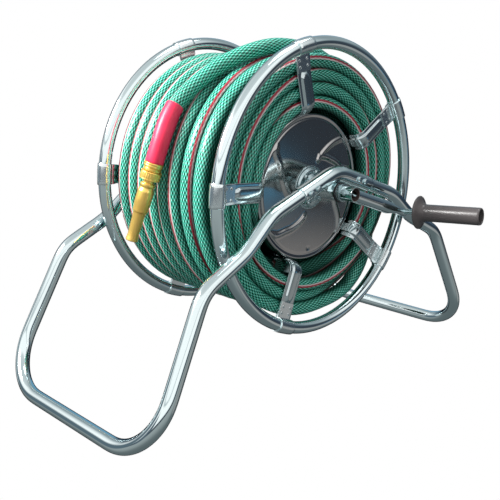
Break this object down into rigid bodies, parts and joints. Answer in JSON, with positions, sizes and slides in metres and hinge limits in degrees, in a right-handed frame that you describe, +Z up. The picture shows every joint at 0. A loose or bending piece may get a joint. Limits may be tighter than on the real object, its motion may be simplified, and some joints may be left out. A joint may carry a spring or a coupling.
{
  "type": "hose reel",
  "caption": "Free-standing tubular hose reel with two bent leg loops, an open strap drum between tube rings, a crank with a turning grip, and a wound braided hose with a twist nozzle.",
  "frame": {"origin": "on the floor, straight under the middle of the reel's axis", "axes": "+X along the reel's axis towards the crank, -Y towards the side the hose end hangs on, +Z up"},
  "size_m": [0.466, 0.712, 0.496],
  "materials": {
    "polished_tube": "bright polished tube",
    "polished_sheet": "bright rolled and pressed sheet",
    "zinc_hardware": "bright zinc plated",
    "bush_plastic": "black moulded",
    "grip_plastic": "satin moulded, grey brown",
    "hose_pvc": "clear green skin over a light braid, with red and white stripes",
    "sleeve_pvc": "glossy red shrink sleeve",
    "brass": "turned and polished",
    "seal_rubber": "black moulded"
  },
  "bodies": {
    "stand": {"front_leg_frame": "polished_tube", "rear_leg_frame": "polished_tube", "saddle_right": "polished_tube", "saddle_left": "polished_tube", "saddle_screws_right": "zinc_hardware", "saddle_screws_left": "zinc_hardware", "saddle_nuts_right": "zinc_hardware", "saddle_nuts_left": "zinc_hardware", "bearing_housing_right": "polished_tube", "bearing_housing_left": "polished_tube", "bush_right": "bush_plastic", "bush_left": "bush_plastic"},
    "reel": {"axle": "polished_tube", "axle_spacer": "zinc_hardware", "axle_washer": "zinc_hardware", "axle_stop_bolt": "zinc_hardware", "axle_stop_nut": "zinc_hardware", "ring_right": "polished_tube", "ring_left": "polished_tube", "strap_1": "polished_sheet", "strap_2": "polished_sheet", "strap_3": "polished_sheet", "strap_4": "polished_sheet", "strap_5": "polished_sheet", "ring_clips_right": "polished_sheet", "ring_clips_left": "polished_sheet", "end_disc_right": "polished_sheet", "end_disc_left": "polished_sheet", "hub_flange_right": "polished_sheet", "hub_flange_left": "polished_sheet", "hub_rivets_right": "zinc_hardware", "hub_rivets_left": "zinc_hardware", "hose_anchor": "zinc_hardware", "anchor_rivet": "zinc_hardware", "crank_arm": "polished_tube", "crank_bolt": "zinc_hardware", "crank_nut_plug": "zinc_hardware", "grip_spindle": "zinc_hardware", "grip_retainer": "zinc_hardware", "hose_pack": "hose_pvc", "hose_tail": "hose_pvc", "hose_sleeve": "sleeve_pvc", "hose_coupling": "brass", "coupling_washer": "seal_rubber", "nozzle_collar": "brass", "nozzle_stem": "brass"},
    "grip": {"grip": "grip_plastic"},
    "nozzle_seal": {"nozzle_o_ring": "seal_rubber"},
    "nozzle_barrel": {"nozzle_barrel": "brass"}
  },
  "joints": [
    {"name": "reel_spin", "type": "hinge", "parent": "stand", "child": "reel", "pos_m": [0, 0, 0.287], "axis": [1, 0, 0], "continuous": true},
    {"name": "grip_spin", "type": "hinge", "parent": "reel", "child": "grip", "pos_m": [0.1696, 0.12058, 0.24712], "axis": [0.9844, 0.1652, 0.0601], "continuous": true},
    {"name": "nozzle_travel", "type": "slide", "parent": "reel", "child": "nozzle_seal", "axis": [-0.209, -0.2145, -0.9541], "range_m": [0, 0.006]},
    {"name": "nozzle_twist", "type": "hinge", "parent": "nozzle_seal", "child": "nozzle_barrel", "pos_m": [-0.0069, -0.1966, 0.3288], "axis": [-0.209, -0.2145, -0.9541], "range_deg": [0, 720]}
  ],
  "couplings": [
    {"joint": "nozzle_twist", "follows": "nozzle_travel", "rad_per_m": 2094.4}
  ]
}
